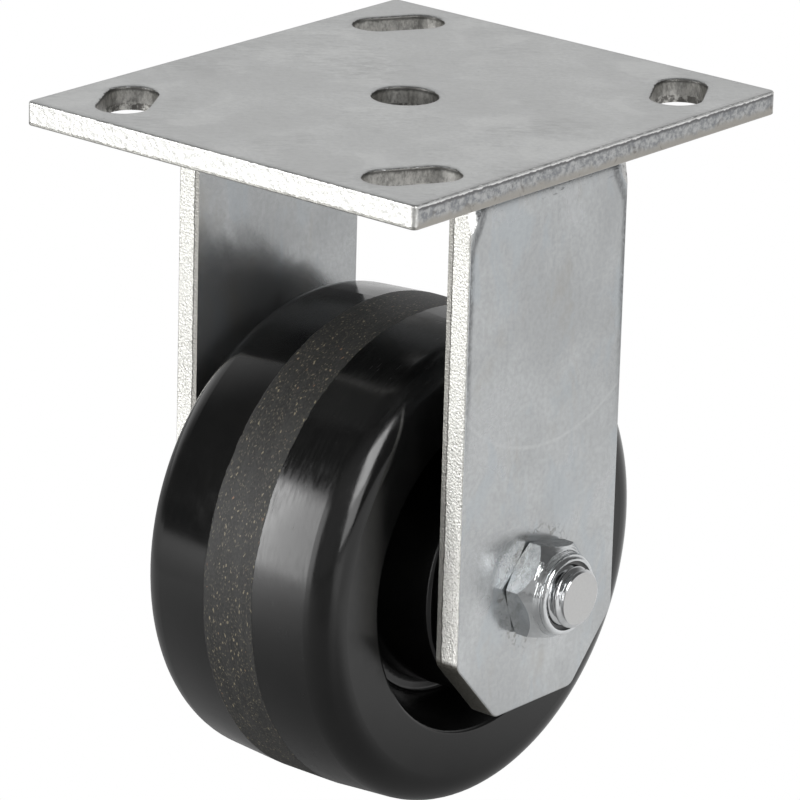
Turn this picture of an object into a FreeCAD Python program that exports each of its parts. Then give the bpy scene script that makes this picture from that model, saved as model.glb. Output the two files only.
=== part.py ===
import FreeCAD, Part
import math
import os

# Rigid plate caster: a top plate with oblique bolt slots, a U-shaped fork bent from one strip and
# welded under it, and a moulded wheel that turns on a roller bearing round a bushing and axle bolt.
# Millimetres. The origin is the centre of the plate's top face. X runs along the axle with the nut
# at +X, Y along the direction of travel, and Z up.

# Top plate
plate_width = 101.6
plate_length = 114.3
plate_thickness = 5.0
plate_corner_radius = 1.2
plate_edge_roll = 0.5
plate_lower_break = 0.35

# Bolt slots: each runs obliquely from its bolt place nearest the plate's long side to the one
# nearest the plate's end, so the plate takes a 79.4 x 76.2 and a 69.9 x 92.1 bolt pattern
slot_side_margin = 11.1
slot_end_margin = 11.1
slot_run_x = 4.75
slot_run_y = 7.95
slot_width = 10.7
slot_edge_roll = 0.5
centre_hole_diameter = 13.7

# Fork strip
strip_thickness = 5.5
strip_width = 50.0
strip_edge_roll = 0.45
bend_inner_radius = 2.5
axle_drop = 95.5
leg_end_below_axle = 25.5
leg_clip_length = 12.6
leg_clip_height = 14.0
leg_corner_radius = 3.0

# Corners that the bending pinched in, at both ends of each bend
pinch_start_below_bend = 3.2
pinch_height = 4.6
pinch_across_strip = 0.85
pinch_along_edge = 3.5

# Welds between the crown and the plate
weld_leg = 4.5
weld_crown = 0.5
weld_end_margin = 1.5

# Wheel: the tread falls away by the mould's draft on both sides of a ground band
wheel_radius = 51.4
wheel_width = 50.8
ground_band_width = 13.0
tread_draft = 3.8
shoulder_radius = 6.5
rim_edge_radius = 0.8
groove_depth = 11.4
groove_floor = 2.8
groove_fillet = 1.1
rim_wall_slope = 27.0
hub_length = 61.9
hub_radius = 25.0
hub_draft = 3.0
hub_edge_radius = 1.2
bore_chamfer = 0.6

# Bearing
bushing_diameter = 19.05
roller_diameter = 5.55
roller_gap = 1.9
roller_end_chamfer = 0.4
cage_ring_width = 2.0
cage_bar_height = 2.4
washer_diameter = 38.0
washer_thickness = 1.6

# Axle bolt and lock nut
bolt_diameter = 12.7
bolt_length = 88.2
bolt_point_diameter = 11.1
bolt_point_length = 0.8
head_across_flats = 19.05
head_height = 7.9
head_bevel = 0.9
head_seat_height = 0.4
head_turn = 17.0
nut_across_flats = 19.05
nut_seat_chamfer = 0.6
nut_corner_height = 3.4
nut_cone_height = 6.0
nut_height = 8.5
nut_cone_radius = 9.0
nut_collar_radius = 8.5
nut_collar_round = 1.1
nut_turn = 169.5
insert_height = 2.1
insert_wall = 1.2
nut_lip_height = 0.8
nut_lip_gap = 0.9

# Clearances
bolt_clearance = 0.1
thread_clearance = 0.05
roller_clearance = 0.04
roller_end_clearance = 0.25
cage_clearance = 0.3
cage_bar_clearance = 0.4
cage_end_clearance = 0.4
washer_clearance = 0.12
side_play = 0.4
insert_clearance = 0.02

# Places that follow from the sizes above
fork_gap = hub_length + 2 * (washer_thickness + side_play)
leg_inner_x = fork_gap / 2
leg_outer_x = leg_inner_x + strip_thickness
crown_top_z = -plate_thickness
crown_bottom_z = crown_top_z - strip_thickness
bend_outer_radius = bend_inner_radius + strip_thickness
bend_centre_x = leg_outer_x - bend_outer_radius
bend_centre_z = crown_top_z - bend_outer_radius
axle_z = -axle_drop
leg_end_z = axle_z - leg_end_below_axle

bolt_radius = bolt_diameter / 2
bushing_radius = bushing_diameter / 2
roller_radius = roller_diameter / 2
pitch_radius = bushing_radius + roller_clearance + roller_radius
wheel_bore_radius = pitch_radius + roller_radius + roller_clearance
roller_step = math.asin((roller_diameter + roller_gap) / (2 * pitch_radius))
roller_count = int(math.pi / roller_step)
cage_length = hub_length - 2 * cage_end_clearance
roller_length = cage_length - 2 * (cage_ring_width + roller_end_clearance)

up = FreeCAD.Vector(0, 0, 1)
along_axle = FreeCAD.Vector(1, 0, 0)


def point(x, y, z):
    return FreeCAD.Vector(x, y, z)


def line(start, end):
    return Part.LineSegment(start, end).toShape()


def arc(start, middle, end):
    return Part.Arc(start, middle, end).toShape()


def prism(corners, travel):
    outline = Part.makePolygon(corners + [corners[0]])
    return Part.Face(outline).extrude(travel)


def cylinder_x(radius, start_x, end_x):
    return Part.makeCylinder(radius, end_x - start_x, point(start_x, 0, 0), along_axle)


def turned(edges):
    # A solid of revolution about the X axis from edges in the XZ plane
    face = Part.Face(Part.Wire(edges))
    return face.revolve(point(0, 0, 0), along_axle, 360)


def turned_outline(corners):
    # The same from corners given as (distance along X, radius)
    points = [point(x, 0, r) for x, r in corners]
    return turned([line(a, b) for a, b in zip(points, points[1:] + points[:1])])


def rounded(shape, radius, chosen):
    edges = [edge for edge in shape.Edges if chosen(edge)]
    return shape.makeFillet(radius, edges)


def runs_along(edge, axis):
    if not isinstance(edge.Curve, Part.Line):
        return False
    return abs(edge.Curve.Direction.dot(axis)) > 0.999


def lies_at_z(edge, z):
    return abs(edge.BoundBox.ZMin - z) < 1e-6 and abs(edge.BoundBox.ZMax - z) < 1e-6


def at_axle(shape):
    return shape.translated(point(0, 0, axle_z))


def hexagon(across_flats, start_x, end_x, turn):
    corner_radius = across_flats / math.sqrt(3)
    angles = [math.radians(turn + 60 * i) for i in range(6)]
    corners = [point(start_x, corner_radius * math.cos(a), corner_radius * math.sin(a)) for a in angles]
    return prism(corners, point(end_x - start_x, 0, 0))


def slot_cutter(side_x, side_y):
    # The round ends of the slot stand on the two bolt patterns
    side_place = plate_width / 2 - slot_side_margin
    end_place = plate_length / 2 - slot_end_margin
    ends = [
        point(side_x * side_place, side_y * (end_place - slot_run_y), 0),
        point(side_x * (side_place - slot_run_x), side_y * end_place, 0),
    ]
    run = ends[1] - ends[0]
    across = point(-run.y, run.x, 0).normalize() * (slot_width / 2)
    tip = (run * 1.0).normalize() * (slot_width / 2)
    edges = [
        line(ends[0] + across, ends[1] + across),
        arc(ends[1] + across, ends[1] + tip, ends[1] - across),
        line(ends[1] - across, ends[0] - across),
        arc(ends[0] - across, ends[0] - tip, ends[0] + across),
    ]
    face = Part.Face(Part.Wire(edges))
    face.translate(point(0, 0, -2 * plate_thickness))
    return face.extrude(up * (3 * plate_thickness))


def top_plate():
    slab = Part.makeBox(
        plate_width,
        plate_length,
        plate_thickness,
        point(-plate_width / 2, -plate_length / 2, -plate_thickness),
    )
    slab = rounded(slab, plate_corner_radius, lambda e: runs_along(e, up))
    slab = rounded(slab, plate_edge_roll, lambda e: lies_at_z(e, 0))
    slab = rounded(slab, plate_lower_break, lambda e: lies_at_z(e, -plate_thickness))
    for side_x in (-1, 1):
        for side_y in (-1, 1):
            slab = slab.cut(slot_cutter(side_x, side_y))
    slab = slab.cut(
        Part.makeCylinder(centre_hole_diameter / 2, 3 * plate_thickness, point(0, 0, -2 * plate_thickness))
    )
    border = 2 * plate_edge_roll

    def hole_rim(edge):
        box = edge.BoundBox
        inside_x = max(abs(box.XMin), abs(box.XMax)) < plate_width / 2 - border
        inside_y = max(abs(box.YMin), abs(box.YMax)) < plate_length / 2 - border
        return lies_at_z(edge, 0) and inside_x and inside_y

    return rounded(slab, slot_edge_roll, hole_rim)


def fork_blank():
    # The bent strip seen along Y: legs, two bends and the crown between them
    outer = leg_outer_x
    inner = leg_inner_x
    middle = math.sqrt(0.5)
    edges = []
    for side in (-1, 1):
        bend_x = side * bend_centre_x
        out_mid = point(
            bend_x + side * bend_outer_radius * middle, 0, bend_centre_z + bend_outer_radius * middle
        )
        in_mid = point(
            bend_x + side * bend_inner_radius * middle, 0, bend_centre_z + bend_inner_radius * middle
        )
        edges += [
            line(point(side * outer, 0, leg_end_z), point(side * outer, 0, bend_centre_z)),
            arc(point(side * outer, 0, bend_centre_z), out_mid, point(bend_x, 0, crown_top_z)),
            arc(point(side * inner, 0, bend_centre_z), in_mid, point(bend_x, 0, crown_bottom_z)),
            line(point(side * inner, 0, leg_end_z), point(side * inner, 0, bend_centre_z)),
            line(point(side * inner, 0, leg_end_z), point(side * outer, 0, leg_end_z)),
        ]
    edges += [
        line(point(-bend_centre_x, 0, crown_top_z), point(bend_centre_x, 0, crown_top_z)),
        line(point(-bend_centre_x, 0, crown_bottom_z), point(bend_centre_x, 0, crown_bottom_z)),
    ]
    outline = Part.Wire(Part.__sortEdges__(edges))
    blank = Part.Face(outline).extrude(point(0, strip_width, 0))
    return blank.translated(point(0, -strip_width / 2, 0))


def leg_clip(side_y):
    # The triangle sheared off each lower corner of both legs
    edge_y = side_y * strip_width / 2
    over = 2 * strip_thickness
    slope = leg_clip_height / leg_clip_length
    start_x = -leg_outer_x - over
    corners = [
        point(start_x, edge_y + side_y * over, leg_end_z + leg_clip_height + slope * over),
        point(start_x, edge_y + side_y * over, leg_end_z - over),
        point(start_x, edge_y - side_y * (leg_clip_length + over / slope), leg_end_z - over),
    ]
    return prism(corners, point(2 * (leg_outer_x + over), 0, 0))


def pinch_cutter(side_x, side_y):
    # A block whose inner face is the slanted facet at one corner of a bend
    corner = point(
        side_x * leg_outer_x, side_y * strip_width / 2, bend_centre_z - pinch_start_below_bend
    )
    inward = corner + point(-side_x * pinch_across_strip, 0, pinch_height)
    backward = corner + point(0, -side_y * pinch_along_edge, pinch_height)
    normal = (inward - corner).cross(backward - corner)
    if normal.x * side_x < 0:
        normal = normal * -1
    size = 4 * pinch_height
    block = Part.makeBox(size, size, pinch_height, point(-size / 2, -size / 2, 0))
    block.Placement = FreeCAD.Placement(corner, FreeCAD.Rotation(up, normal))
    return block


def fork():
    strip = fork_blank()
    for side_y in (-1, 1):
        strip = strip.cut(leg_clip(side_y))

    def clip_corner(edge):
        return runs_along(edge, along_axle) and edge.BoundBox.ZMax < axle_z

    strip = rounded(strip, leg_corner_radius, clip_corner)

    def outer_edge(edge):
        box = edge.BoundBox
        on_leg = min(abs(box.XMin), abs(box.XMax)) > leg_outer_x - 1e-6
        return on_leg and box.DiagonalLength > 1e-3

    strip = rounded(strip, strip_edge_roll, outer_edge)
    for side_x in (-1, 1):
        for side_y in (-1, 1):
            strip = strip.cut(pinch_cutter(side_x, side_y))
    axle_hole = at_axle(
        cylinder_x(bolt_radius + bolt_clearance, -leg_outer_x - strip_thickness, leg_outer_x + strip_thickness)
    )
    centre_hole = Part.makeCylinder(
        centre_hole_diameter / 2, 3 * strip_thickness, point(0, 0, crown_bottom_z - strip_thickness)
    )
    return strip.cut(axle_hole).cut(centre_hole)


def weld(side_y):
    # A fillet bead along the crown's edge, with its ends swept round to nothing
    half = bend_centre_x - weld_leg - weld_end_margin
    bulge = weld_leg / 2 + weld_crown * math.sqrt(0.5)
    root = point(-half, 0, crown_top_z)
    toe = point(-half, -weld_leg, crown_top_z)
    low = point(-half, 0, crown_top_z - weld_leg)
    face_middle = point(-half, -bulge, crown_top_z - bulge)
    section = Part.Face(Part.Wire([line(root, toe), arc(toe, face_middle, low), line(low, root)]))
    bead = section.extrude(point(2 * half, 0, 0))
    first_end = section.revolve(root, up, -90)
    last_end = section.translated(point(2 * half, 0, 0)).revolve(point(half, 0, crown_top_z), up, 90)
    bead = bead.fuse([first_end, last_end]).removeSplitter()
    bead = bead.translated(point(0, -strip_width / 2, 0))
    if side_y > 0:
        bead = bead.mirror(point(0, 0, 0), point(0, 1, 0))
    return bead


def wheel():
    # Half outline from the bore round the hub, groove, rim face and shoulder to the tread
    rim_x = wheel_width / 2
    hub_x = hub_length / 2
    band_x = ground_band_width / 2
    floor_x = rim_x - groove_depth
    floor_inner = hub_radius + (hub_x - floor_x) * math.tan(math.radians(hub_draft))
    floor_outer = floor_inner + groove_floor
    rim_inner = floor_outer + groove_depth * math.tan(math.radians(rim_wall_slope))
    rim_outer = wheel_radius - (rim_x - band_x) * math.tan(math.radians(tread_draft))
    side_corners = [
        (hub_x - bore_chamfer, wheel_bore_radius),
        (hub_x, wheel_bore_radius + bore_chamfer),
        (hub_x, hub_radius),
        (floor_x, floor_inner),
        (floor_x, floor_outer),
        (rim_x, rim_inner),
        (rim_x, rim_outer),
        (band_x, wheel_radius),
    ]
    mirrored = [(-x, r) for x, r in reversed(side_corners)]
    body = turned_outline(side_corners + mirrored)

    def ring_at(edge, x, radius):
        if not isinstance(edge.Curve, Part.Circle):
            return False
        return abs(abs(edge.Curve.Center.x) - x) < 1e-4 and abs(edge.Curve.Radius - radius) < 1e-4

    for x, radius, fillet in (
        (floor_x, floor_inner, groove_fillet),
        (floor_x, floor_outer, groove_fillet),
        (rim_x, rim_inner, rim_edge_radius),
        (rim_x, rim_outer, shoulder_radius),
        (hub_x, hub_radius, hub_edge_radius),
    ):
        body = rounded(body, fillet, lambda e: ring_at(e, x, radius))
    return at_axle(body)


def spanner_bushing():
    outer = cylinder_x(bushing_radius, -leg_inner_x, leg_inner_x)
    bore = cylinder_x(bolt_radius + bolt_clearance, -leg_inner_x, leg_inner_x)
    return at_axle(outer.cut(bore))


def roller_angle(index):
    return 2 * math.pi * index / roller_count


def roller(index):
    half = roller_length / 2
    body = turned_outline(
        [
            (-half, 0),
            (-half, roller_radius - roller_end_chamfer),
            (-half + roller_end_chamfer, roller_radius),
            (half - roller_end_chamfer, roller_radius),
            (half, roller_radius - roller_end_chamfer),
            (half, 0),
        ]
    )
    angle = roller_angle(index)
    offset = point(0, pitch_radius * math.cos(angle), pitch_radius * math.sin(angle))
    return at_axle(body.translated(offset))


def roller_cage():
    inner = bushing_radius + cage_clearance
    outer = wheel_bore_radius - cage_clearance
    half = cage_length / 2
    rings = []
    for start in (-half, half - cage_ring_width):
        end = start + cage_ring_width
        rings.append(cylinder_x(outer, start, end).cut(cylinder_x(inner, start, end)))
    free_arc = 2 * pitch_radius * math.sin(math.pi / roller_count) - roller_diameter
    bar_width = free_arc - 2 * cage_bar_clearance
    bars = []
    for index in range(roller_count):
        bar = Part.makeBox(
            cage_length - cage_ring_width,
            bar_width,
            cage_bar_height,
            point(-half + cage_ring_width / 2, -bar_width / 2, pitch_radius - cage_bar_height / 2),
        )
        turn = math.degrees(roller_angle(index + 0.5)) - 90
        bar.rotate(point(0, 0, 0), along_axle, turn)
        bars.append(bar)
    return at_axle(rings[0].fuse(rings[1:] + bars).removeSplitter())


def thrust_washer(side_x):
    start = side_x * leg_inner_x - (washer_thickness if side_x > 0 else 0)
    disc = cylinder_x(washer_diameter / 2, start, start + washer_thickness)
    hole = cylinder_x(bushing_radius + washer_clearance, start, start + washer_thickness)
    return at_axle(disc.cut(hole))


def axle_bolt():
    seat_x = -leg_outer_x
    face_x = seat_x - head_height
    corner = head_across_flats / math.sqrt(3)
    flat = head_across_flats / 2
    head = hexagon(head_across_flats, face_x, seat_x - head_seat_height, head_turn)
    bevel = turned_outline(
        [
            (seat_x, 0),
            (seat_x, corner + head_bevel),
            (face_x + head_bevel, corner + head_bevel),
            (face_x, flat - head_bevel / 2),
            (face_x, 0),
        ]
    )
    seat = cylinder_x(flat - head_bevel / 2, seat_x - head_seat_height, seat_x)
    tip_x = seat_x + bolt_length
    shank = turned_outline(
        [
            (face_x + head_bevel, 0),
            (face_x + head_bevel, bolt_radius),
            (tip_x - bolt_point_length, bolt_radius),
            (tip_x, bolt_point_diameter / 2),
            (tip_x, 0),
        ]
    )
    return at_axle(head.common(bevel).fuse([seat, shank]).removeSplitter())


def insert_seat():
    # Where the insert lies in the nut, and the radii of the bore, the insert and the lip
    bore = bolt_radius + thread_clearance
    end_x = leg_outer_x + nut_height - nut_lip_height
    return bore, bore + insert_wall, end_x - insert_height, end_x


def lock_nut():
    seat_x = leg_outer_x
    top_x = seat_x + nut_height
    corner = nut_across_flats / math.sqrt(3)
    bend = nut_collar_round * (1 - math.sqrt(0.5))
    round_start = point(top_x - nut_collar_round, 0, nut_collar_radius)
    round_middle = point(top_x - bend, 0, nut_collar_radius - bend)
    round_end = point(top_x, 0, nut_collar_radius - nut_collar_round)
    corners = [
        point(top_x, 0, 0),
        point(seat_x, 0, 0),
        point(seat_x, 0, nut_across_flats / 2),
        point(seat_x + nut_seat_chamfer, 0, corner),
        point(seat_x + nut_corner_height, 0, corner),
        point(seat_x + nut_cone_height, 0, nut_cone_radius),
        round_start,
    ]
    edges = [line(round_end, corners[0])]
    edges += [line(a, b) for a, b in zip(corners, corners[1:])]
    edges.append(arc(round_start, round_middle, round_end))
    dome = turned(edges)
    body = hexagon(nut_across_flats, seat_x, top_x, nut_turn).common(dome)
    bore, seat_radius, start_x, end_x = insert_seat()
    body = body.cut(cylinder_x(bore, seat_x, start_x))
    body = body.cut(cylinder_x(seat_radius + insert_clearance, start_x, end_x))
    return at_axle(body.cut(cylinder_x(bore + nut_lip_gap, end_x, top_x)))


def nut_insert():
    bore, seat_radius, start_x, end_x = insert_seat()
    return at_axle(cylinder_x(seat_radius, start_x, end_x).cut(cylinder_x(bore, start_x, end_x)))


nodes = {
    "top_plate": top_plate(),
    "fork": fork(),
    "weld_front": weld(-1),
    "weld_rear": weld(1),
    "wheel": wheel(),
    "spanner_bushing": spanner_bushing(),
    "roller_cage": roller_cage(),
    "thrust_washer_left": thrust_washer(-1),
    "thrust_washer_right": thrust_washer(1),
    "axle_bolt": axle_bolt(),
    "lock_nut": lock_nut(),
    "nut_insert": nut_insert(),
}
for number in range(roller_count):
    nodes["roller_%02d" % (number + 1)] = roller(number)

os.makedirs("parts", exist_ok=True)
for name, shape in nodes.items():
    shape.exportStep("parts/%s.step" % name)
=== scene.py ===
import math
import random

import bmesh
import bpy
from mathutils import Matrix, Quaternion, Vector


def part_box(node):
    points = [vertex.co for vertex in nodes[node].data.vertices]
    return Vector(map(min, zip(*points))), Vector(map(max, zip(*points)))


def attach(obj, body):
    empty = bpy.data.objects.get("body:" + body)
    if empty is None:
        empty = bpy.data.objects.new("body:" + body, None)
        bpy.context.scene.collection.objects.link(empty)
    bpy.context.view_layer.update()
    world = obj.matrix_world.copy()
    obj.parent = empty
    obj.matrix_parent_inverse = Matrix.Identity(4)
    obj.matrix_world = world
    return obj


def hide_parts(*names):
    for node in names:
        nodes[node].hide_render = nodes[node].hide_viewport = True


# Metres, in the frame of the solids: the origin is the centre of the plate's upper face, X runs along
# the axle towards the nut, Y along the direction of travel and Z up.

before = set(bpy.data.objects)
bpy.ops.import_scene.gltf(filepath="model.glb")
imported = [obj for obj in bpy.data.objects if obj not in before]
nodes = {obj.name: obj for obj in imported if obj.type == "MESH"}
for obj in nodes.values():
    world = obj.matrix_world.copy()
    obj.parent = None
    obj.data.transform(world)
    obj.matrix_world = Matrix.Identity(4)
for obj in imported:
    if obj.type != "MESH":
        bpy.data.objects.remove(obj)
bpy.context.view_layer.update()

plate_low, plate_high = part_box("top_plate")
wheel_low, wheel_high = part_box("wheel")
fork_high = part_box("fork")[1]
bolt_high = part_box("axle_bolt")[1]
nut_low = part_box("lock_nut")[0]
washer_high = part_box("thrust_washer_right")[1]

floor_z = wheel_low.z
axle_z = (wheel_low.z + wheel_high.z) / 2
tread_radius = (wheel_high.z - wheel_low.z) / 2
leg_inner_x = washer_high.x
leg_outer_x = fork_high.x

# Plate: the slots' ends next to the long sides, the run to their other ends, and the openings' radii
plate_thickness = plate_high.z - plate_low.z
slot_end = Vector((0.0397, 0.0381))
slot_run = Vector((-0.00475, 0.00795))
slot_radius = 0.00535
hole_radius = 0.00685
plate_brushing_angle = math.radians(39.73)
# X, Y and reach of each duller patch of the upper face
worn_patches = ((-0.018, 0.011, 0.013), (0.038, 0.004, 0.010), (-0.042, -0.012, 0.014))

# Fork: the height where the bend ends, and the arc rubbed into the nut's leg
bend_mark_z = plate_low.z - 0.0072
rub_arc_y = 0.0017
rub_arc_z = -0.0277
rub_arc_radius = 0.0375

# Wheel: half the width of the band ground on the tread
ground_half_width = 0.0065


class Look:
    """One material, with short calls for its nodes."""

    def __init__(self, name):
        self.material = bpy.data.materials.new(name)
        self.material.use_nodes = True
        self.nodes = self.material.node_tree.nodes
        self.links = self.material.node_tree.links
        self.nodes.clear()
        self.shader = self.nodes.new("ShaderNodeBsdfPrincipled")
        output = self.nodes.new("ShaderNodeOutputMaterial")
        self.links.new(self.shader.outputs["BSDF"], output.inputs["Surface"])
        coords = self.nodes.new("ShaderNodeTexCoord")
        self.place = coords.outputs["Object"]
        self.facing = coords.outputs["Normal"]

    def put(self, socket, value):
        if isinstance(value, bpy.types.NodeSocket):
            self.links.new(value, socket)
        elif isinstance(value, tuple) and socket.type == "RGBA":
            socket.default_value = (*value, 1.0)
        else:
            socket.default_value = value

    def surface(self, **inputs):
        for name, value in inputs.items():
            self.put(self.shader.inputs[name.replace("_", " ").title().replace("Ior", "IOR")], value)

    def math(self, operation, a, b=0.0, clamp=False):
        node = self.nodes.new("ShaderNodeMath")
        node.operation = operation
        node.use_clamp = clamp
        self.put(node.inputs[0], a)
        self.put(node.inputs[1], b)
        return node.outputs[0]

    def plus(self, a, b, clamp=False):
        return self.math("ADD", a, b, clamp)

    def minus(self, a, b):
        return self.math("SUBTRACT", a, b)

    def times(self, a, b):
        return self.math("MULTIPLY", a, b)

    def unsigned(self, a):
        return self.math("ABSOLUTE", a)

    def split(self, vector):
        node = self.nodes.new("ShaderNodeSeparateXYZ")
        self.put(node.inputs[0], vector)
        return node.outputs[0], node.outputs[1], node.outputs[2]

    def joined(self, x, y, z):
        node = self.nodes.new("ShaderNodeCombineXYZ")
        for socket, value in zip(node.inputs, (x, y, z)):
            self.put(socket, value)
        return node.outputs[0]

    def turned(self, vector, angle):
        node = self.nodes.new("ShaderNodeVectorRotate")
        node.rotation_type = "Z_AXIS"
        self.put(node.inputs["Vector"], vector)
        self.put(node.inputs["Angle"], angle)
        return node.outputs[0]

    def leaning(self, normal, offset):
        """A normal tilted by an offset vector."""
        node = self.nodes.new("ShaderNodeVectorMath")
        node.operation = "ADD"
        self.put(node.inputs[0], normal)
        self.put(node.inputs[1], offset)
        unit = self.nodes.new("ShaderNodeVectorMath")
        unit.operation = "NORMALIZE"
        self.put(unit.inputs[0], node.outputs[0])
        return unit.outputs[0]

    def length(self, vector):
        node = self.nodes.new("ShaderNodeVectorMath")
        node.operation = "LENGTH"
        self.put(node.inputs[0], vector)
        return node.outputs["Value"]

    def stretched(self, vector, factors):
        node = self.nodes.new("ShaderNodeVectorMath")
        node.operation = "MULTIPLY"
        self.put(node.inputs[0], vector)
        self.put(node.inputs[1], factors)
        return node.outputs[0]

    def noise(self, vector, size, detail=3.0, roughness=0.5, distortion=0.0):
        node = self.nodes.new("ShaderNodeTexNoise")
        self.put(node.inputs["Vector"], vector)
        self.put(node.inputs["Scale"], 1.0 / size)
        self.put(node.inputs["Detail"], detail)
        self.put(node.inputs["Roughness"], roughness)
        self.put(node.inputs["Distortion"], distortion)
        return node.outputs[0]

    def cells(self, vector, size, dimensions="3D"):
        """Distance from the middle of random cells, and the cell's random colour."""
        node = self.nodes.new("ShaderNodeTexVoronoi")
        node.voronoi_dimensions = dimensions
        self.put(node.inputs["Vector"], vector)
        self.put(node.inputs["Scale"], 1.0 / size)
        return node.outputs["Distance"], node.outputs["Color"]

    def between(self, value, low, high, low_out=0.0, high_out=1.0):
        """A smooth step from one level to another, as a value goes from low to high."""
        node = self.nodes.new("ShaderNodeMapRange")
        node.interpolation_type = "SMOOTHSTEP"
        for socket, number in zip(node.inputs, (value, low, high, low_out, high_out)):
            self.put(socket, number)
        return node.outputs[0]

    def mixed(self, share, a, b):
        """A colour between two colours."""
        node = self.nodes.new("ShaderNodeMix")
        node.data_type = "RGBA"
        self.put(node.inputs["Factor"], share)
        self.put(node.inputs[6], a)
        self.put(node.inputs[7], b)
        return node.outputs[2]

    def blended(self, share, a, b):
        """A number between two numbers."""
        node = self.nodes.new("ShaderNodeMix")
        self.put(node.inputs["Factor"], share)
        self.put(node.inputs[2], a)
        self.put(node.inputs[3], b)
        return node.outputs[0]

    def bumped(self, height, depth, strength=1.0, base=None):
        node = self.nodes.new("ShaderNodeBump")
        self.put(node.inputs["Strength"], strength)
        self.put(node.inputs["Distance"], depth)
        self.put(node.inputs["Height"], height)
        if base is not None:
            self.put(node.inputs["Normal"], base)
        return node.outputs[0]


def shaded(tint, factor):
    return tuple(c * factor for c in tint)


def around_axle(look):
    """The place as X, the distance from the axle and the angle round it."""
    x, y, z = look.split(look.place)
    above = look.minus(z, axle_z)
    return x, look.length(look.joined(0.0, y, above)), look.math("ARCTAN2", y, above)


def zinc_face(look, tint, along, wear, brushing):
    """Colour, roughness and height of a satin zinc-plated face, brushed along the x of a given vector."""
    clouds = look.noise(look.place, 0.030, 4.0, 0.55)
    patches = look.noise(look.place, 0.021, 4.0, 0.6, 0.5)
    brushed = look.noise(look.stretched(along, (0.30, 1.0, 1.0)), 0.0013, 4.0, 0.7, 0.3)
    scratched = look.noise(look.stretched(look.turned(along, 0.35), (0.02, 1.0, 1.0)), 0.0007, 2.0, 0.5)
    grain = look.noise(look.place, 0.0006, 2.0, 0.6)
    speckle = look.noise(look.place, 0.0011, 3.0, 0.7)
    colour = look.mixed(look.between(clouds, 0.36, 0.64), shaded(tint, 0.82), tint)
    colour = look.mixed(look.between(speckle, 0.38, 0.62, 0.0, 0.24), colour, shaded(tint, 0.60))
    rubbed = look.times(look.between(brushed, 0.42, 0.62), look.between(patches, 0.48, 0.62))
    colour = look.mixed(look.times(rubbed, wear), colour, shaded(tint, 0.60))
    colour = look.mixed(look.between(brushed, 0.62, 0.44, 0.0, brushing), colour, shaded(tint, 1.22))
    colour = look.mixed(look.between(scratched, 0.70, 0.76, 0.0, brushing * 2), colour, shaded(tint, 1.25))
    height = look.plus(look.times(brushed, 0.7), look.times(grain, 0.3))
    roughness = look.between(clouds, 0.3, 0.7, 0.33, 0.42)
    return colour, roughness, height


def sheared_grain(look, size):
    """Height and tone of the crystalline grain on a sheared edge."""
    grains = look.cells(look.place, size)[0]
    fine = look.noise(look.place, size * 0.8, 4.0, 0.7)
    rough_height = look.plus(grains, look.times(fine, 0.9))
    return rough_height, look.between(fine, 0.30, 0.52)


def hazed_and_worn(look, colour, x, y, along):
    """The plate's face with hazy areas and duller worn patches."""
    haze = look.noise(look.place, 0.016, 3.0, 0.5, 0.8)
    colour = look.mixed(look.between(haze, 0.40, 0.60, 0.16, 0.0), colour, (0.40, 0.405, 0.40))
    colour = look.mixed(look.between(haze, 0.54, 0.66, 0.0, 0.25), colour, (0.70, 0.705, 0.695))
    blotch = look.noise(look.stretched(along, (0.5, 1.0, 1.0)), 0.0024, 5.0, 0.7)
    for patch_x, patch_y, reach in worn_patches:
        off_patch = look.length(look.joined(look.minus(x, patch_x), look.minus(y, patch_y), 0.0))
        share = look.times(look.between(off_patch, reach, reach * 0.2), look.between(blotch, 0.42, 0.60))
        colour = look.mixed(look.times(share, 0.42), colour, (0.36, 0.362, 0.36))
    return colour


def off_plate_rims(look, x, y):
    """Distance over the plate's face from the nearest slot, the hole or an outer edge."""
    from_slot_x = look.minus(look.unsigned(x), slot_end.x)
    from_slot_y = look.minus(look.unsigned(y), slot_end.y)
    step_x = look.times(from_slot_x, slot_run.x / slot_run.length_squared)
    step_y = look.times(from_slot_y, slot_run.y / slot_run.length_squared)
    share = look.plus(step_x, step_y, clamp=True)
    past_x = look.minus(from_slot_x, look.times(share, slot_run.x))
    past_y = look.minus(from_slot_y, look.times(share, slot_run.y))
    off_slot = look.minus(look.length(look.joined(past_x, past_y, 0.0)), slot_radius)
    off_hole = look.minus(look.length(look.joined(x, y, 0.0)), hole_radius)
    off_long = look.minus(plate_high.x, look.unsigned(x))
    off_end = look.minus(plate_high.y, look.unsigned(y))
    off_openings = look.math("MINIMUM", off_slot, off_hole)
    return look.math("MINIMUM", off_openings, look.math("MINIMUM", off_long, off_end))


def cut_end_colour(look, depth, grain_tone):
    """Cut ends at both Y sides: white crystalline break with a grey burnished line below."""
    colour = look.mixed(grain_tone, (0.57, 0.565, 0.54), (0.76, 0.76, 0.735))
    colour = look.mixed(look.between(depth, 0.86, 0.90), colour, (0.40, 0.395, 0.37))
    seam = look.times(look.between(depth, 0.84, 0.87), look.between(depth, 0.91, 0.88))
    return look.mixed(look.times(seam, 0.7), colour, (0.24, 0.235, 0.22))


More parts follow.
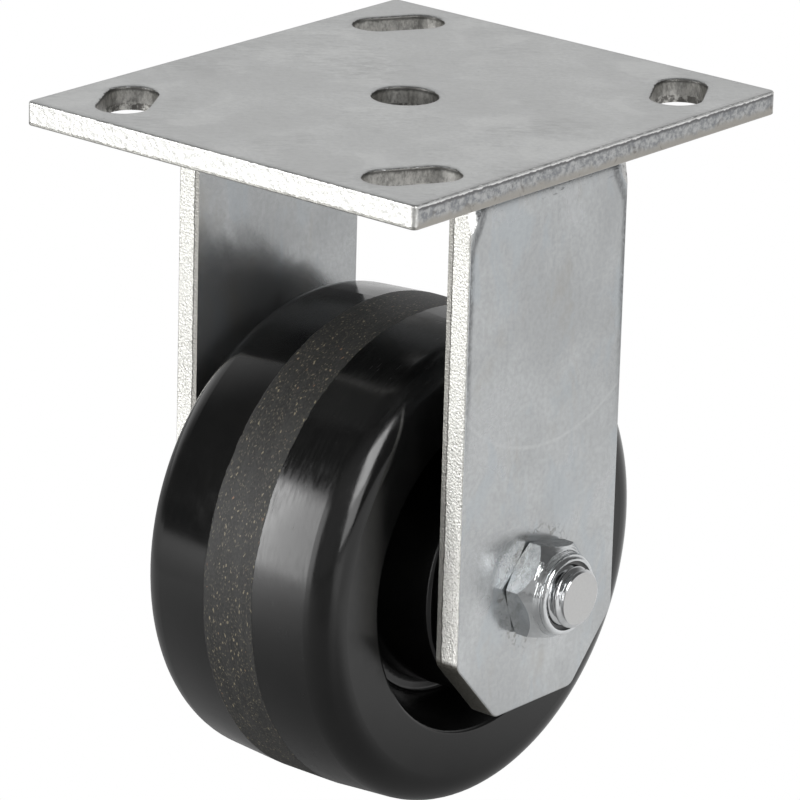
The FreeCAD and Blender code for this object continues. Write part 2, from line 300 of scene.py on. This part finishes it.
def long_edge_colour(look, depth, mottle):
    """Rolled long edges: a painted highlight line, nicked, on the corner, a painted shade line under it,
    bluish mottle, brown tint.
    """
    spots = look.noise(look.place, 0.0042, 4.0, 0.65, 0.6)
    colour = look.mixed(look.between(mottle, 0.38, 0.62), (0.31, 0.32, 0.335), (0.58, 0.585, 0.585))
    low_tint = look.between(look.plus(depth, look.times(spots, 0.5)), 0.80, 1.10)
    colour = look.mixed(low_tint, colour, (0.47, 0.45, 0.415))
    colour = look.mixed(look.between(spots, 0.60, 0.71, 0.0, 0.60), colour, (0.16, 0.15, 0.14))
    # Painted shade: a dark line just under the rolled corner
    colour = look.mixed(look.between(depth, 0.30, 0.19), colour, (0.20, 0.20, 0.205))
    # Painted highlight: a bright nicked line on the rolled corner
    return look.mixed(look.between(depth, 0.15, 0.11), colour, (0.98, 0.98, 0.97))


def punched_wall_colour(look, depth, marks, nicks):
    """Slot and hole walls: painted shade along the top, grey shear band with upright marks, ragged break with
    bright flecks below.
    """
    colour = look.mixed(look.between(marks, 0.36, 0.62), (0.30, 0.295, 0.28), (0.56, 0.55, 0.525))
    broken_colour = look.mixed(look.between(nicks, 0.44, 0.60), (0.17, 0.165, 0.155), (0.60, 0.59, 0.56))
    colour = look.mixed(look.between(depth, 0.66, 0.72), colour, broken_colour)
    # Painted shade: a dark line along the top of the wall, under the rolled rim
    return look.mixed(look.between(depth, 0.24, 0.10), colour, (0.15, 0.148, 0.14))


def plate_finish():
    look = Look("plate_zinc")
    x, y, z = look.split(look.place)
    along = look.turned(look.place, -plate_brushing_angle)
    colour, roughness, height = zinc_face(look, (0.610, 0.617, 0.613), along, 0.32, 0.10)
    colour = hazed_and_worn(look, colour, x, y, along)

    nicks = look.noise(look.place, 0.0014, 4.0, 0.7)
    nicked = look.minus(nicks, 0.5)
    upright = look.plus(look.unsigned(look.split(look.facing)[2]), look.times(nicked, 1.5))
    side = look.between(upright, 0.78, 0.52)

    # The face rolls down towards the punched slots, the hole and the outer edges
    off_rim = look.plus(off_plate_rims(look, x, y), look.times(nicks, 0.0006))
    rolled = look.times(look.between(off_rim, 0.0, 0.0019), look.between(z, -0.0012, -0.0002))

    # Depth below the upper face, from 0 to 1, with a ragged offset
    depth = look.plus(look.times(z, -1.0 / plate_thickness), look.times(nicked, 0.22))

    grain_height, grain_tone = sheared_grain(look, 0.0011)
    mottle = look.noise(look.place, 0.0012, 4.0, 0.75)
    marks = look.noise(look.stretched(look.place, (1.0, 1.0, 0.50)), 0.0009, 5.0, 0.75)
    cut_end = look.between(look.unsigned(y), plate_high.y - 0.0014, plate_high.y - 0.0004)
    outer = look.math(
        "MAXIMUM",
        look.between(look.unsigned(x), plate_high.x - 0.0016, plate_high.x - 0.0010),
        look.between(look.unsigned(y), plate_high.y - 0.0016, plate_high.y - 0.0010),
    )
    edge_colour = long_edge_colour(look, depth, mottle)
    edge_colour = look.mixed(cut_end, edge_colour, cut_end_colour(look, depth, grain_tone))
    side_colour = look.mixed(outer, punched_wall_colour(look, depth, marks, nicks), edge_colour)

    side_height = look.blended(outer, marks, look.blended(cut_end, mottle, grain_height))
    side_height = look.times(side_height, look.blended(cut_end, 1.0, 0.75))
    smooth = look.bumped(height, 0.00003, 0.5)
    smooth = look.bumped(rolled, 0.00040, 0.9, smooth)
    look.surface(
        base_color=look.mixed(side, colour, side_colour),
        metallic=0.92,
        roughness=look.blended(side, roughness, 0.40),
        normal=look.bumped(look.times(side_height, side), 0.00013, 0.75, smooth),
    )
    return look.material


def stained(look, colour):
    """The fork's faces with brownish stains and cool patches, drawn out along Z."""
    stains = look.noise(look.stretched(look.place, (1.0, 1.0, 0.45)), 0.013, 4.0, 0.6, 0.4)
    colour = look.mixed(look.between(stains, 0.54, 0.72, 0.0, 0.50), colour, (0.47, 0.45, 0.41))
    cool = look.noise(look.stretched(look.place, (1.0, 1.0, 0.5)), 0.009, 4.0, 0.6, 0.8)
    return look.mixed(look.between(cool, 0.52, 0.66, 0.0, 0.45), colour, (0.53, 0.575, 0.61))


def rubbed_at_nut(look, colour, y, z, on_face):
    """The outer face of the nut's leg with a faint rub arc, and dull scuffs round the nut."""
    from_arc = look.length(look.joined(0.0, look.minus(y, rub_arc_y), look.minus(z, rub_arc_z)))
    off_arc = look.unsigned(look.minus(from_arc, rub_arc_radius))
    arc = look.times(look.between(off_arc, 0.0006, 0.0001, 0.0, 0.20), look.between(z, -0.054, -0.058))
    colour = look.mixed(look.times(arc, on_face), colour, (0.80, 0.81, 0.81))
    from_nut = around_axle(look)[1]
    ring = look.times(look.between(from_nut, 0.0098, 0.0108), look.between(from_nut, 0.0150, 0.0115))
    scuffs = look.noise(look.place, 0.0018, 4.0, 0.7, 1.2)
    scuffed = look.times(ring, look.between(scuffs, 0.54, 0.60, 0.0, 0.6))
    return look.mixed(scuffed, colour, (0.26, 0.255, 0.24))


def strip_edge_colour(look, x, z, grain_tone):
    """Bright break with painted light that lightens it towards the bottom, a darker burnished strip and a
    dark line on the inner side of the bend.
    """
    colour = look.mixed(grain_tone, (0.40, 0.39, 0.355), (0.79, 0.785, 0.75))
    # Painted light: the break is painted lighter towards the bottom of the leg
    low_painted_light_colour = look.mixed(grain_tone, (0.56, 0.55, 0.50), (1.0, 0.99, 0.95))
    colour = look.mixed(look.between(z, -0.060, -0.110, 0.0, 0.8), colour, low_painted_light_colour)
    wander = look.times(look.noise(look.place, 0.0022, 4.0, 0.65), 0.0009)
    inward = look.minus(look.unsigned(x), wander)
    burnished = look.between(inward, leg_inner_x + 0.0010, leg_inner_x + 0.0007)
    lines = look.noise(look.stretched(look.place, (1.0, 1.0, 0.10)), 0.0005, 3.0, 0.6)
    colour = look.mixed(burnished, colour, look.mixed(lines, (0.22, 0.215, 0.20), (0.50, 0.49, 0.46)))
    dark_line = look.times(burnished, look.between(inward, leg_inner_x + 0.0005, leg_inner_x + 0.0007))
    return look.mixed(dark_line, colour, (0.10, 0.098, 0.09))


def fold_shade_share(look, z, off_side, folds):
    """Painted shade of a fold that runs from each pinched corner to the edge and fades down along it."""
    drift = look.minus(look.noise(look.place, 0.004, 3.0, 0.6), 0.5)
    fold_line = look.between(z, bend_mark_z - 0.0085, bend_mark_z + 0.001, 0.0004, 0.0040)
    fold_line = look.plus(fold_line, look.times(drift, 0.0012))
    off_fold = look.unsigned(look.minus(off_side, fold_line))
    fold_shade = look.times(look.between(off_fold, 0.0017, 0.0002), look.between(z, -0.075, -0.030))
    return look.times(fold_shade, look.between(folds, 0.30, 0.60, 0.25, 0.85))


def dash_share(look, z):
    """Short dark marks across the outer face, just under the bend."""
    dashes = look.noise(look.stretched(look.place, (1.0, 0.22, 1.0)), 0.0009, 3.0, 0.6)
    above = look.between(z, bend_mark_z - 0.0012, bend_mark_z)
    below = look.between(z, bend_mark_z + 0.003, bend_mark_z + 0.0012)
    return look.times(look.times(above, below), look.between(dashes, 0.60, 0.66, 0.0, 0.75))


def fork_finish():
    look = Look("fork_zinc")
    x, y, z = look.split(look.place)
    facing_x, facing_y = look.split(look.facing)[:2]
    outward = look.times(facing_x, look.math("SIGN", x))
    outer_face = look.between(outward, 0.9, 0.98)
    inner_face = look.between(outward, -0.6, -0.9)
    colour, roughness, height = zinc_face(look, (0.63, 0.645, 0.652), look.joined(z, y, x), 0.10, 0.05)
    colour = stained(look, colour)
    colour = rubbed_at_nut(look, colour, y, z, look.between(facing_x, 0.9, 0.98))

    # Sheared edges of the strip
    grain_height, grain_tone = sheared_grain(look, 0.00055)
    nicks = look.noise(look.place, 0.0013, 4.0, 0.7)
    sheared = look.between(look.plus(look.unsigned(facing_y), look.times(nicks, 0.3)), 0.78, 0.92)
    colour = look.mixed(sheared, colour, strip_edge_colour(look, x, z, grain_tone))

    # Clipped lower corners: brownish and duller
    below = look.between(z, axle_z - 0.010, axle_z - 0.0112)
    clipped = look.times(below, look.between(look.unsigned(facing_x), 0.8, 0.6))
    colour = look.mixed(clipped, colour, look.mixed(grain_tone, (0.06, 0.057, 0.050), (0.20, 0.193, 0.170)))

    # Corners pinched in by the bend: a crushed facet with a painted highlight along its crest and painted
    # shade in its folds
    slant = look.unsigned(facing_y)
    pinched = look.times(look.between(slant, 0.08, 0.16), look.between(slant, 0.55, 0.45))
    pinched = look.times(pinched, look.between(z, bend_mark_z - 0.0050, bend_mark_z - 0.0045))
    off_side = look.minus(fork_high.y, look.unsigned(y))
    crest = look.between(off_side, 0.0024, 0.0011)
    folds = look.noise(look.stretched(look.place, (1.0, 1.0, 0.5)), 0.0009, 4.0, 0.7, 1.5)
    # Painted highlight: the facet turns near white towards its crest
    facet_highlight_and_shade_colour = look.mixed(crest, (0.42, 0.43, 0.44), (0.92, 0.92, 0.90))
    # Painted shade in the facet's folds
    facet_highlight_and_shade_colour = look.mixed(look.between(folds, 0.57, 0.66), facet_highlight_and_shade_colour, (0.22, 0.22, 0.22))
    colour = look.mixed(pinched, colour, facet_highlight_and_shade_colour)
    fold_shade = look.times(fold_shade_share(look, z, off_side, folds), outer_face)
    # Painted shade along each fold on the outer face
    colour = look.mixed(fold_shade, colour, (0.17, 0.175, 0.18))
    colour = look.mixed(look.times(dash_share(look, z), outer_face), colour, (0.12, 0.12, 0.12))

    # Slight waves of the inner faces, grain of the edges, and edges that catch the light from above
    waves = look.noise(look.place, 0.017, 2.0, 0.45, 0.5)
    smooth = look.bumped(height, 0.00003, 0.4)
    smooth = look.bumped(look.times(waves, inner_face), 0.0007, 0.7, smooth)
    rough_side = look.math("MAXIMUM", sheared, clipped)
    grain = look.plus(look.times(grain_height, rough_side), look.times(folds, pinched))
    normal = look.bumped(grain, 0.00009, 0.75, smooth)
    lean = look.times(look.times(look.times(look.math("SIGN", facing_y), pinched), 0.45), crest)
    upward = look.times(sheared, look.between(z, -0.055, -0.100, 0.0, 0.17))
    face_roughness = look.blended(inner_face, look.minus(roughness, 0.13), 0.25)
    look.surface(
        base_color=colour,
        metallic=look.blended(inner_face, 0.92, 0.80),
        roughness=look.blended(rough_side, face_roughness, 0.46),
        normal=look.leaning(normal, look.joined(0.0, lean, upward)),
    )
    return look.material


def weld_finish():
    look = Look("weld_zinc")
    clouds = look.noise(look.place, 0.004, 4.0, 0.6)
    fine = look.noise(look.place, 0.0006, 3.0, 0.7)
    look.surface(
        base_color=look.mixed(look.between(clouds, 0.35, 0.65), (0.40, 0.39, 0.37), (0.60, 0.60, 0.58)),
        metallic=0.9,
        roughness=look.between(fine, 0.3, 0.7, 0.32, 0.5),
        normal=look.bumped(fine, 0.00008, 0.5),
    )
    return look.material


def bright_zinc_finish(name, tint, roughness):
    """Polished plating on turned and formed hardware, with faint rubbed marks."""
    look = Look(name)
    x, radius, angle = around_axle(look)
    clouds = look.noise(look.place, 0.0030, 4.0, 0.6)
    marks = look.noise(look.stretched(look.place, (0.25, 1.0, 1.0)), 0.0007, 3.0, 0.65)
    rings = look.noise(look.joined(x, radius, look.times(angle, 0.0016)), 0.0008, 3.0, 0.65)
    turned = look.between(look.unsigned(look.split(look.facing)[0]), 0.10, 0.25)
    marks = look.plus(marks, look.times(look.times(rings, turned), 16.0))
    turned_roughness = look.between(clouds, 0.35, 0.7, roughness + 0.05, roughness + 0.12)
    look.surface(
        base_color=look.mixed(look.between(clouds, 0.35, 0.7), shaded(tint, 0.86), tint),
        metallic=1.0,
        roughness=look.blended(turned, turned_roughness, roughness),
        normal=look.bumped(marks, 0.000016, 0.5),
    )
    return look.material


def bolt_finish():
    """Bright plating, with a matt cut face at the bolt's end."""
    look = Look("bolt_zinc")
    x = look.split(look.place)[0]
    end_face = look.between(look.split(look.facing)[0], 0.94, 0.985)
    end_face = look.times(end_face, look.between(x, bolt_high.x - 0.0006, bolt_high.x - 0.0002))
    clouds = look.noise(look.place, 0.0035, 4.0, 0.6)
    marks = look.noise(look.place, 0.0006, 3.0, 0.65)
    colour = look.mixed(look.between(clouds, 0.35, 0.7), (0.56, 0.57, 0.575), (0.70, 0.71, 0.72))
    cut_colour = look.mixed(marks, (0.64, 0.64, 0.635), (0.74, 0.74, 0.735))
    look.surface(
        base_color=look.mixed(end_face, colour, cut_colour),
        metallic=1.0,
        roughness=look.blended(end_face, look.between(marks, 0.35, 0.7, 0.08, 0.16), 0.50),
        normal=look.bumped(marks, 0.00002, 0.35),
    )
    return look.material


def steel_finish(name, tint, roughness):
    look = Look(name)
    clouds = look.noise(look.place, 0.006, 4.0, 0.6)
    fine = look.noise(look.stretched(look.place, (1.0, 0.3, 0.3)), 0.0008, 3.0, 0.65)
    look.surface(
        base_color=look.mixed(look.between(clouds, 0.3, 0.7), shaded(tint, 0.75), tint),
        metallic=1.0,
        roughness=look.between(fine, 0.3, 0.7, roughness, roughness + 0.14),
        normal=look.bumped(fine, 0.00003, 0.4),
    )
    return look.material


def ground_band_colour(look, x, round_tread, dust, fray):
    """Grey dust, fine tan fibres and a few larger yellow or orange flecks."""
    smears = look.noise(look.joined(x, look.times(round_tread, 0.15), 0.0), 0.0025, 4.0, 0.6)
    colour = look.mixed(look.between(dust, 0.34, 0.66), (0.006, 0.006, 0.0055), (0.030, 0.0296, 0.0275))
    colour = look.mixed(look.between(smears, 0.40, 0.70, 0.0, 0.35), colour, (0.047, 0.046, 0.0435))
    bent_x = look.plus(x, look.times(fray, 0.0012))
    bent_y = look.plus(look.times(round_tread, 0.5), look.times(smears, 0.003))
    bent = look.joined(bent_x, bent_y, 0.0)
    fibre, fibre_hue = look.cells(bent, 0.00045, "2D")
    chance, tone = look.split(fibre_hue)[:2]
    share = look.times(look.between(fibre, 0.34, 0.14), look.between(chance, 0.50, 0.60))
    colour = look.mixed(share, colour, look.mixed(tone, (0.040, 0.038, 0.031), (0.14, 0.125, 0.092)))
    fleck, fleck_hue = look.cells(bent, 0.0010, "2D")
    chance, size, tone = look.split(fleck_hue)
    reach = look.times(look.plus(size, 0.4), 0.13)
    share = look.times(look.math("LESS_THAN", fleck, reach), look.between(chance, 0.60, 0.64))
    warm = look.mixed(look.between(tone, 0.92, 0.95), (0.23, 0.20, 0.135), (0.23, 0.135, 0.08))
    return look.mixed(share, colour, warm)


def phenolic_finish():
    """Glossy black moulding with a matt ground band that shows the filler's flecks."""
    look = Look("wheel_phenolic")
    x, radius, angle = around_axle(look)
    round_tread = look.times(angle, tread_radius)
    unrolled = look.joined(x, look.times(round_tread, 0.6), 0.0)
    fray = look.noise(unrolled, 0.0011, 4.0, 0.7)
    wander = look.noise(look.place, 0.010, 3.0, 0.6)
    edge_wander = look.plus(look.times(fray, 0.0007), look.times(wander, 0.0008))
    across = look.minus(look.unsigned(x), edge_wander)
    on_tread = look.between(radius, tread_radius - 0.0004, tread_radius - 0.0002)
    border = ground_half_width - 0.0008
    band = look.times(look.between(across, border + 0.00015, border - 0.00015), on_tread)
    dust = look.noise(unrolled, 0.00045, 4.0, 0.8)
    band_colour = ground_band_colour(look, x, round_tread, dust, fray)
    soot = look.between(look.noise(look.place, 0.012, 4.0, 0.6), 0.3, 0.7)
    gloss_colour = look.mixed(soot, (0.0022, 0.0023, 0.0023), (0.0038, 0.0038, 0.0036))

    # The gloss is scuffed round the tread and hazier down the wheel's sides
    scuff = look.noise(look.joined(x, look.times(round_tread, 0.12), 0.0), 0.0006, 3.0, 0.7)
    near_tread = look.between(radius, tread_radius - 0.006, tread_radius - 0.001)
    rubbed = look.times(near_tread, look.between(x, 0.0, 0.006, 0.3, 1.0))
    scuffed = look.times(look.between(scuff, 0.20, 0.85, 0.03, 0.20), rubbed)
    moulded = look.between(look.noise(look.place, 0.004, 4.0, 0.6), 0.35, 0.7, 0.07, 0.12)
    side_haze = look.between(radius, tread_radius - 0.003, tread_radius - 0.010, 0.0, 0.12)
    gloss_roughness = look.plus(look.plus(moulded, scuffed), side_haze)

    ripple = look.noise(look.place, 0.0030, 3.0, 0.55)
    shallow = look.bumped(ripple, 0.00002, 0.35)
    shallow = look.bumped(look.times(scuff, near_tread), 0.000003, 0.5, shallow)
    normal = look.bumped(look.times(look.plus(dust, scuff), band), 0.00010, 0.7, shallow)

    # The moulded tread is very slightly crowned beside the band
    out = look.between(look.unsigned(x), ground_half_width, ground_half_width + 0.014, 0.0, 0.075)
    lean = look.times(look.times(look.math("SIGN", x), out), near_tread)
    look.surface(
        base_color=look.mixed(band, gloss_colour, band_colour),
        metallic=0.0,
        ior=1.53,
        roughness=look.blended(band, gloss_roughness, 0.58),
        normal=look.leaning(normal, look.joined(lean, 0.0, 0.0)),
    )
    return look.material


def nylon_finish():
    look = Look("insert_nylon")
    fine = look.noise(look.place, 0.0008, 3.0, 0.6)
    look.surface(
        base_color=look.mixed(fine, (0.10, 0.10, 0.10), (0.15, 0.15, 0.15)),
        roughness=0.45,
        normal=look.bumped(fine, 0.00003, 0.4),
    )
    return look.material


def dress(node, material):
    slots = nodes[node].material_slots
    for slot in slots:
        slot.material = material
    if not slots:
        nodes[node].data.materials.append(material)


def new_piece(name, shape, material, body, replaced):
    """A piece made of a finished shape, in place of the node that it replaces."""
    bmesh.ops.recalc_face_normals(shape, faces=shape.faces)
    mesh = bpy.data.meshes.new(name)
    shape.to_mesh(mesh)
    shape.free()
    mesh.materials.append(material)
    piece = bpy.data.objects.new(name, mesh)
    bpy.context.scene.collection.objects.link(piece)
    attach(piece, body)
    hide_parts(replaced)


def tube_of_rings(shape, rings):
    """Joins rings of vertices, each a list of points, into a closed shell with flat ends."""
    loops = [[shape.verts.new(p) for p in ring] for ring in rings]
    count = len(loops[0])
    for low, high in zip(loops, loops[1:]):
        for i in range(count):
            j = (i + 1) % count
            shape.faces.new((low[i], low[j], high[j], high[i]))
    shape.faces.new(loops[0][::-1])
    shape.faces.new(loops[-1])


# Bolt thread: 13 turns to the inch on a 12.7 mm bolt
thread_pitch = 0.0254 / 13
thread_depth = 0.00112
thread_crest_share = 0.14
thread_root_share = 0.22
thread_start_x = nut_low.x - 0.006
thread_runout = 0.003
thread_steps_per_turn = 72
thread_steps_per_pitch = 16
bolt_radius = 0.00632
bolt_point_radius = 0.00555
bolt_point_length = 0.0008
bolt_tip_step = 1e-5
head_seat_x = -leg_outer_x
shank_in_head = 0.001


def thread_cut(turns):
    """How deep the thread is cut, 0 at the crest to 1 at the root, at a number of turns."""
    t = abs((turns % 1.0) - 0.5) * 2
    return min(max((t - thread_crest_share) / (1 - thread_crest_share - thread_root_share), 0.0), 1.0)


def bolt_surface_radius(x, angle):
    if x <= thread_start_x:
        return bolt_radius
    turns = (x - thread_start_x) / thread_pitch - angle / (2 * math.pi)
    runout = min(max((x - thread_start_x) / thread_runout, 0.0), 1.0)
    radius = bolt_radius - thread_depth * thread_cut(turns) * runout
    to_tip = (bolt_high.x - x) / bolt_point_length
    point_limit = bolt_point_radius + (bolt_radius - bolt_point_radius) * to_tip
    return min(radius, max(point_limit, bolt_point_radius))


def bolt_ring(x):
    ring = []
    for i in range(thread_steps_per_turn):
        angle = 2 * math.pi * i / thread_steps_per_turn
        radius = bolt_surface_radius(x, angle)
        ring.append((x, radius * math.cos(angle), axle_z + radius * math.sin(angle)))
    return ring


def threaded_bolt(material):
    """The bolt's head as modelled, with a shank that carries a true helical thread."""
    shape = bmesh.new()
    shape.from_mesh(nodes["axle_bolt"].data)
    bmesh.ops.remove_doubles(shape, verts=shape.verts, dist=1e-7)
    beyond = [f for f in shape.faces if any(v.co.x > head_seat_x + 0.0001 for v in f.verts)]
    bmesh.ops.delete(shape, geom=beyond, context="FACES")
    rim = [e for e in shape.edges if e.is_boundary]
    bmesh.ops.holes_fill(shape, edges=rim, sides=0)
    head_faces = set(shape.faces)

    step = thread_pitch / thread_steps_per_pitch
    count = int((bolt_high.x - thread_start_x) / step)
    threaded = [thread_start_x + step * (i + 1) for i in range(count)]
    tip = bolt_high.x - bolt_tip_step
    stations = [head_seat_x - shank_in_head, thread_start_x]
    stations += [x for x in threaded if x < tip]
    stations += [tip, bolt_high.x]
    tube_of_rings(shape, [bolt_ring(x) for x in stations])
    for face in shape.faces:
        face.smooth = face not in head_faces and len(face.verts) == 4
    new_piece("axle_bolt_threaded", shape, material, "frame", "axle_bolt")


# Weld bead: overlapping ripples left by the torch
ripple_pitch = 0.0017
ripple_height = 0.00022
ripple_lag = 0.45
bead_hollow = 0.20
weld_stations_per_ripple = 8
weld_section_points = 14


def weld_bead(node, material):
    """A fillet bead along X with crescent ripples, tapering at both ends, in the plain bead's place."""
    low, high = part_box(node)
    outward = -1 if low.y < 0 else 1
    root_y = outward * fork_high.y
    reach = min(abs((low.y if outward < 0 else high.y) - root_y), high.z - low.z) - ripple_height
    length = high.x - low.x
    stations = int(length / ripple_pitch * weld_stations_per_ripple)
    wander = random.Random(7 if outward < 0 else 8)
    bumps = [wander.uniform(0.7, 1.0) for _ in range(int(length / ripple_pitch) + 3)]
    rings = []
    for i in range(stations + 1):
        x = low.x + length * i / stations
        from_end = min(x - low.x, high.x - x)
        swell = min(from_end / reach, 1.0)
        size = reach * math.sqrt(max(1 - (1 - swell) ** 2, 0.0004))
        ring = [(x, root_y, high.z)]
        for k in range(weld_section_points + 1):
            turn = math.pi / 2 * k / weld_section_points
            phase = (x - low.x) / ripple_pitch + ripple_lag * math.sin(2 * turn)
            rise = ripple_height * bumps[int(phase)] * (phase % 1.0) * math.sin(2 * turn) * swell
            out = size * (1 - bead_hollow * math.sin(2 * turn)) + rise
            ring.append((x, root_y + outward * out * math.cos(turn), high.z - out * math.sin(turn)))
        rings.append(ring if outward > 0 else ring[::-1])
    shape = bmesh.new()
    tube_of_rings(shape, rings)
    for face in shape.faces:
        face.smooth = len(face.verts) == 4
    new_piece(node + "_bead", shape, material, "frame", node)


# Camera, from the photograph's perspective
view_azimuth = math.radians(39.73)
view_elevation = math.radians(18.75)
view_roll = math.radians(1.58)
view_distance = 1.12086
view_target = Vector((0, 0, -0.060))
view_focal_pixels = 5458.73
picture_pixels = 800
view_centre_pixel = (397.31, 376.96)


def direction(azimuth, elevation):
    """Unit vector at an azimuth from -Y towards +X and an elevation, in radians."""
    level = math.cos(elevation)
    return Vector((math.sin(azimuth) * level, -math.cos(azimuth) * level, math.sin(elevation)))


def add_camera():
    data = bpy.data.cameras.new("camera")
    data.sensor_width = 36
    data.lens = view_focal_pixels / picture_pixels * data.sensor_width
    data.shift_x = (picture_pixels / 2 - view_centre_pixel[0]) / picture_pixels
    data.shift_y = (view_centre_pixel[1] - picture_pixels / 2) / picture_pixels
    data.clip_start = 0.05
    data.clip_end = 20
    camera = bpy.data.objects.new("camera", data)
    bpy.context.scene.collection.objects.link(camera)
    back = direction(view_azimuth, view_elevation)
    camera.location = view_target + back * view_distance
    camera.rotation_mode = "QUATERNION"
    level = (-back).to_track_quat("-Z", "Y")
    camera.rotation_quaternion = level @ Quaternion((0, 0, 1), view_roll)
    bpy.context.scene.camera = camera


# Studio: every lamp stands at one distance from the axle
lamp_distance = 0.95


def soft_box(name, azimuth, elevation, width, height, radiance):
    """A rectangular lamp that faces the object, seen by the surfaces but not by the camera."""
    data = bpy.data.lights.new(name, "AREA")
    data.shape = "RECTANGLE"
    data.size = width
    data.size_y = height
    data.energy = radiance * math.pi * width * height
    lamp = bpy.data.objects.new(name, data)
    bpy.context.scene.collection.objects.link(lamp)
    outward = direction(math.radians(azimuth), math.radians(elevation))
    lamp.location = Vector((0, 0, axle_z)) + outward * lamp_distance
    lamp.rotation_mode = "QUATERNION"
    lamp.rotation_quaternion = outward.to_track_quat("Z", "Y")
    lamp.visible_camera = False


def rise_towards(tree, coords, towards, low, high, low_out, high_out):
    """A smooth rise of the surrounding light towards a direction."""
    along = tree.nodes.new("ShaderNodeVectorMath")
    along.operation = "DOT_PRODUCT"
    tree.links.new(coords.outputs["Generated"], along.inputs[0])
    along.inputs[1].default_value = towards
    rise = tree.nodes.new("ShaderNodeMapRange")
    rise.interpolation_type = "SMOOTHSTEP"
    tree.links.new(along.outputs["Value"], rise.inputs["Value"])
    rise.inputs["From Min"].default_value = low
    rise.inputs["From Max"].default_value = high
    rise.inputs["To Min"].default_value = low_out
    rise.inputs["To Max"].default_value = high_out
    return rise.outputs["Result"]


def add_world():
    """Light from behind the object with a soft fill from the front, and a plain white backdrop."""
    world = bpy.data.worlds.new("studio")
    bpy.context.scene.world = world
    world.use_nodes = True
    tree = world.node_tree
    tree.nodes.clear()
    coords = tree.nodes.new("ShaderNodeTexCoord")
    behind = direction(view_azimuth + math.pi, math.radians(10))
    in_front = direction(math.radians(35), math.radians(20))
    both = tree.nodes.new("ShaderNodeMath")
    both.operation = "ADD"
    tree.links.new(rise_towards(tree, coords, behind, 0.36, 0.8, 0.12, 0.80), both.inputs[0])
    tree.links.new(rise_towards(tree, coords, in_front, 0.60, 1.0, 0.0, 0.28), both.inputs[1])
    light = tree.nodes.new("ShaderNodeBackground")
    light.inputs["Color"].default_value = (1, 1, 1, 1)
    tree.links.new(both.outputs["Value"], light.inputs["Strength"])
    plain = tree.nodes.new("ShaderNodeBackground")
    plain.inputs["Color"].default_value = (1, 1, 1, 1)
    path = tree.nodes.new("ShaderNodeLightPath")
    choice = tree.nodes.new("ShaderNodeMixShader")
    tree.links.new(path.outputs["Is Camera Ray"], choice.inputs["Fac"])
    tree.links.new(light.outputs["Background"], choice.inputs[1])
    tree.links.new(plain.outputs["Background"], choice.inputs[2])
    output = tree.nodes.new("ShaderNodeOutputWorld")
    tree.links.new(choice.outputs["Shader"], output.inputs["Surface"])


def add_studio():
    soft_box("key_upper", 74, 30, 0.33, 0.46, 7.0)
    soft_box("key_lower", 77, 9, 0.36, 0.22, 3.0)
    soft_box("side_narrow", -33.5, 15, 0.18, 0.54, 4.0)
    soft_box("side_middle", -28, 13.5, 0.35, 0.60, 2.8)
    soft_box("side_wide", -20, 13.5, 0.64, 0.60, 2.3)
    add_world()


floor_half_width = 3.0
bright_floor_azimuth = math.radians(150)
# Azimuth in degrees, distance, outer radius, inner radius and strength of each bright spot
floor_spots = ((-30, 0.50, 0.50, 0.05, 0.72), (0, 0.0, 0.207, 0.193, 0.08))


def add_floor():
    """A large pale floor for the surfaces to reflect; the camera sees the white backdrop in its place."""
    half = floor_half_width
    mesh = bpy.data.meshes.new("floor")
    corners = [(-half, -half, floor_z), (half, -half, floor_z), (half, half, floor_z), (-half, half, floor_z)]
    mesh.from_pydata(corners, [], [(0, 1, 2, 3)])
    floor = bpy.data.objects.new("floor", mesh)
    bpy.context.scene.collection.objects.link(floor)
    look = Look("floor_white")
    x, y = look.split(look.place)[:2]
    away = look.split(look.turned(look.place, math.pi / 2 - bright_floor_azimuth))[0]
    glow = look.between(away, -0.015, 0.10, 0.04, 0.58)
    for azimuth, distance, reach, core, level in floor_spots:
        spot = direction(math.radians(azimuth), 0.0) * distance
        off_spot = look.length(look.joined(look.minus(x, spot.x), look.minus(y, spot.y), 0.0))
        glow = look.plus(glow, look.between(off_spot, reach, core, 0.0, level))
    look.surface(
        base_color=(0.28, 0.28, 0.28),
        roughness=0.40,
        specular_ior_level=0.15,
        emission_color=(1.0, 1.0, 1.0),
        emission_strength=glow,
    )
    floor.visible_camera = False
    mesh.materials.append(look.material)


bpy.context.scene.view_settings.view_transform = "Standard"
add_camera()
add_studio()
add_floor()

dress("top_plate", plate_finish())
dress("fork", fork_finish())
dress("wheel", phenolic_finish())
dress("lock_nut", bright_zinc_finish("nut_zinc", (0.78, 0.80, 0.81), 0.07))
dress("nut_insert", nylon_finish())
dress("roller_cage", steel_finish("cage_steel", (0.42, 0.41, 0.38), 0.40))
washer_steel = steel_finish("washer_steel", (0.56, 0.56, 0.56), 0.34)
dress("thrust_washer_left", washer_steel)
dress("thrust_washer_right", washer_steel)
bearing_steel = steel_finish("bearing_steel", (0.58, 0.58, 0.58), 0.24)
dress("spanner_bushing", bearing_steel)
for name in nodes:
    if name.startswith("roller_") and name != "roller_cage":
        dress(name, bearing_steel)

threaded_bolt(bolt_finish())
weld_steel = weld_finish()
weld_bead("weld_front", weld_steel)
weld_bead("weld_rear", weld_steel)
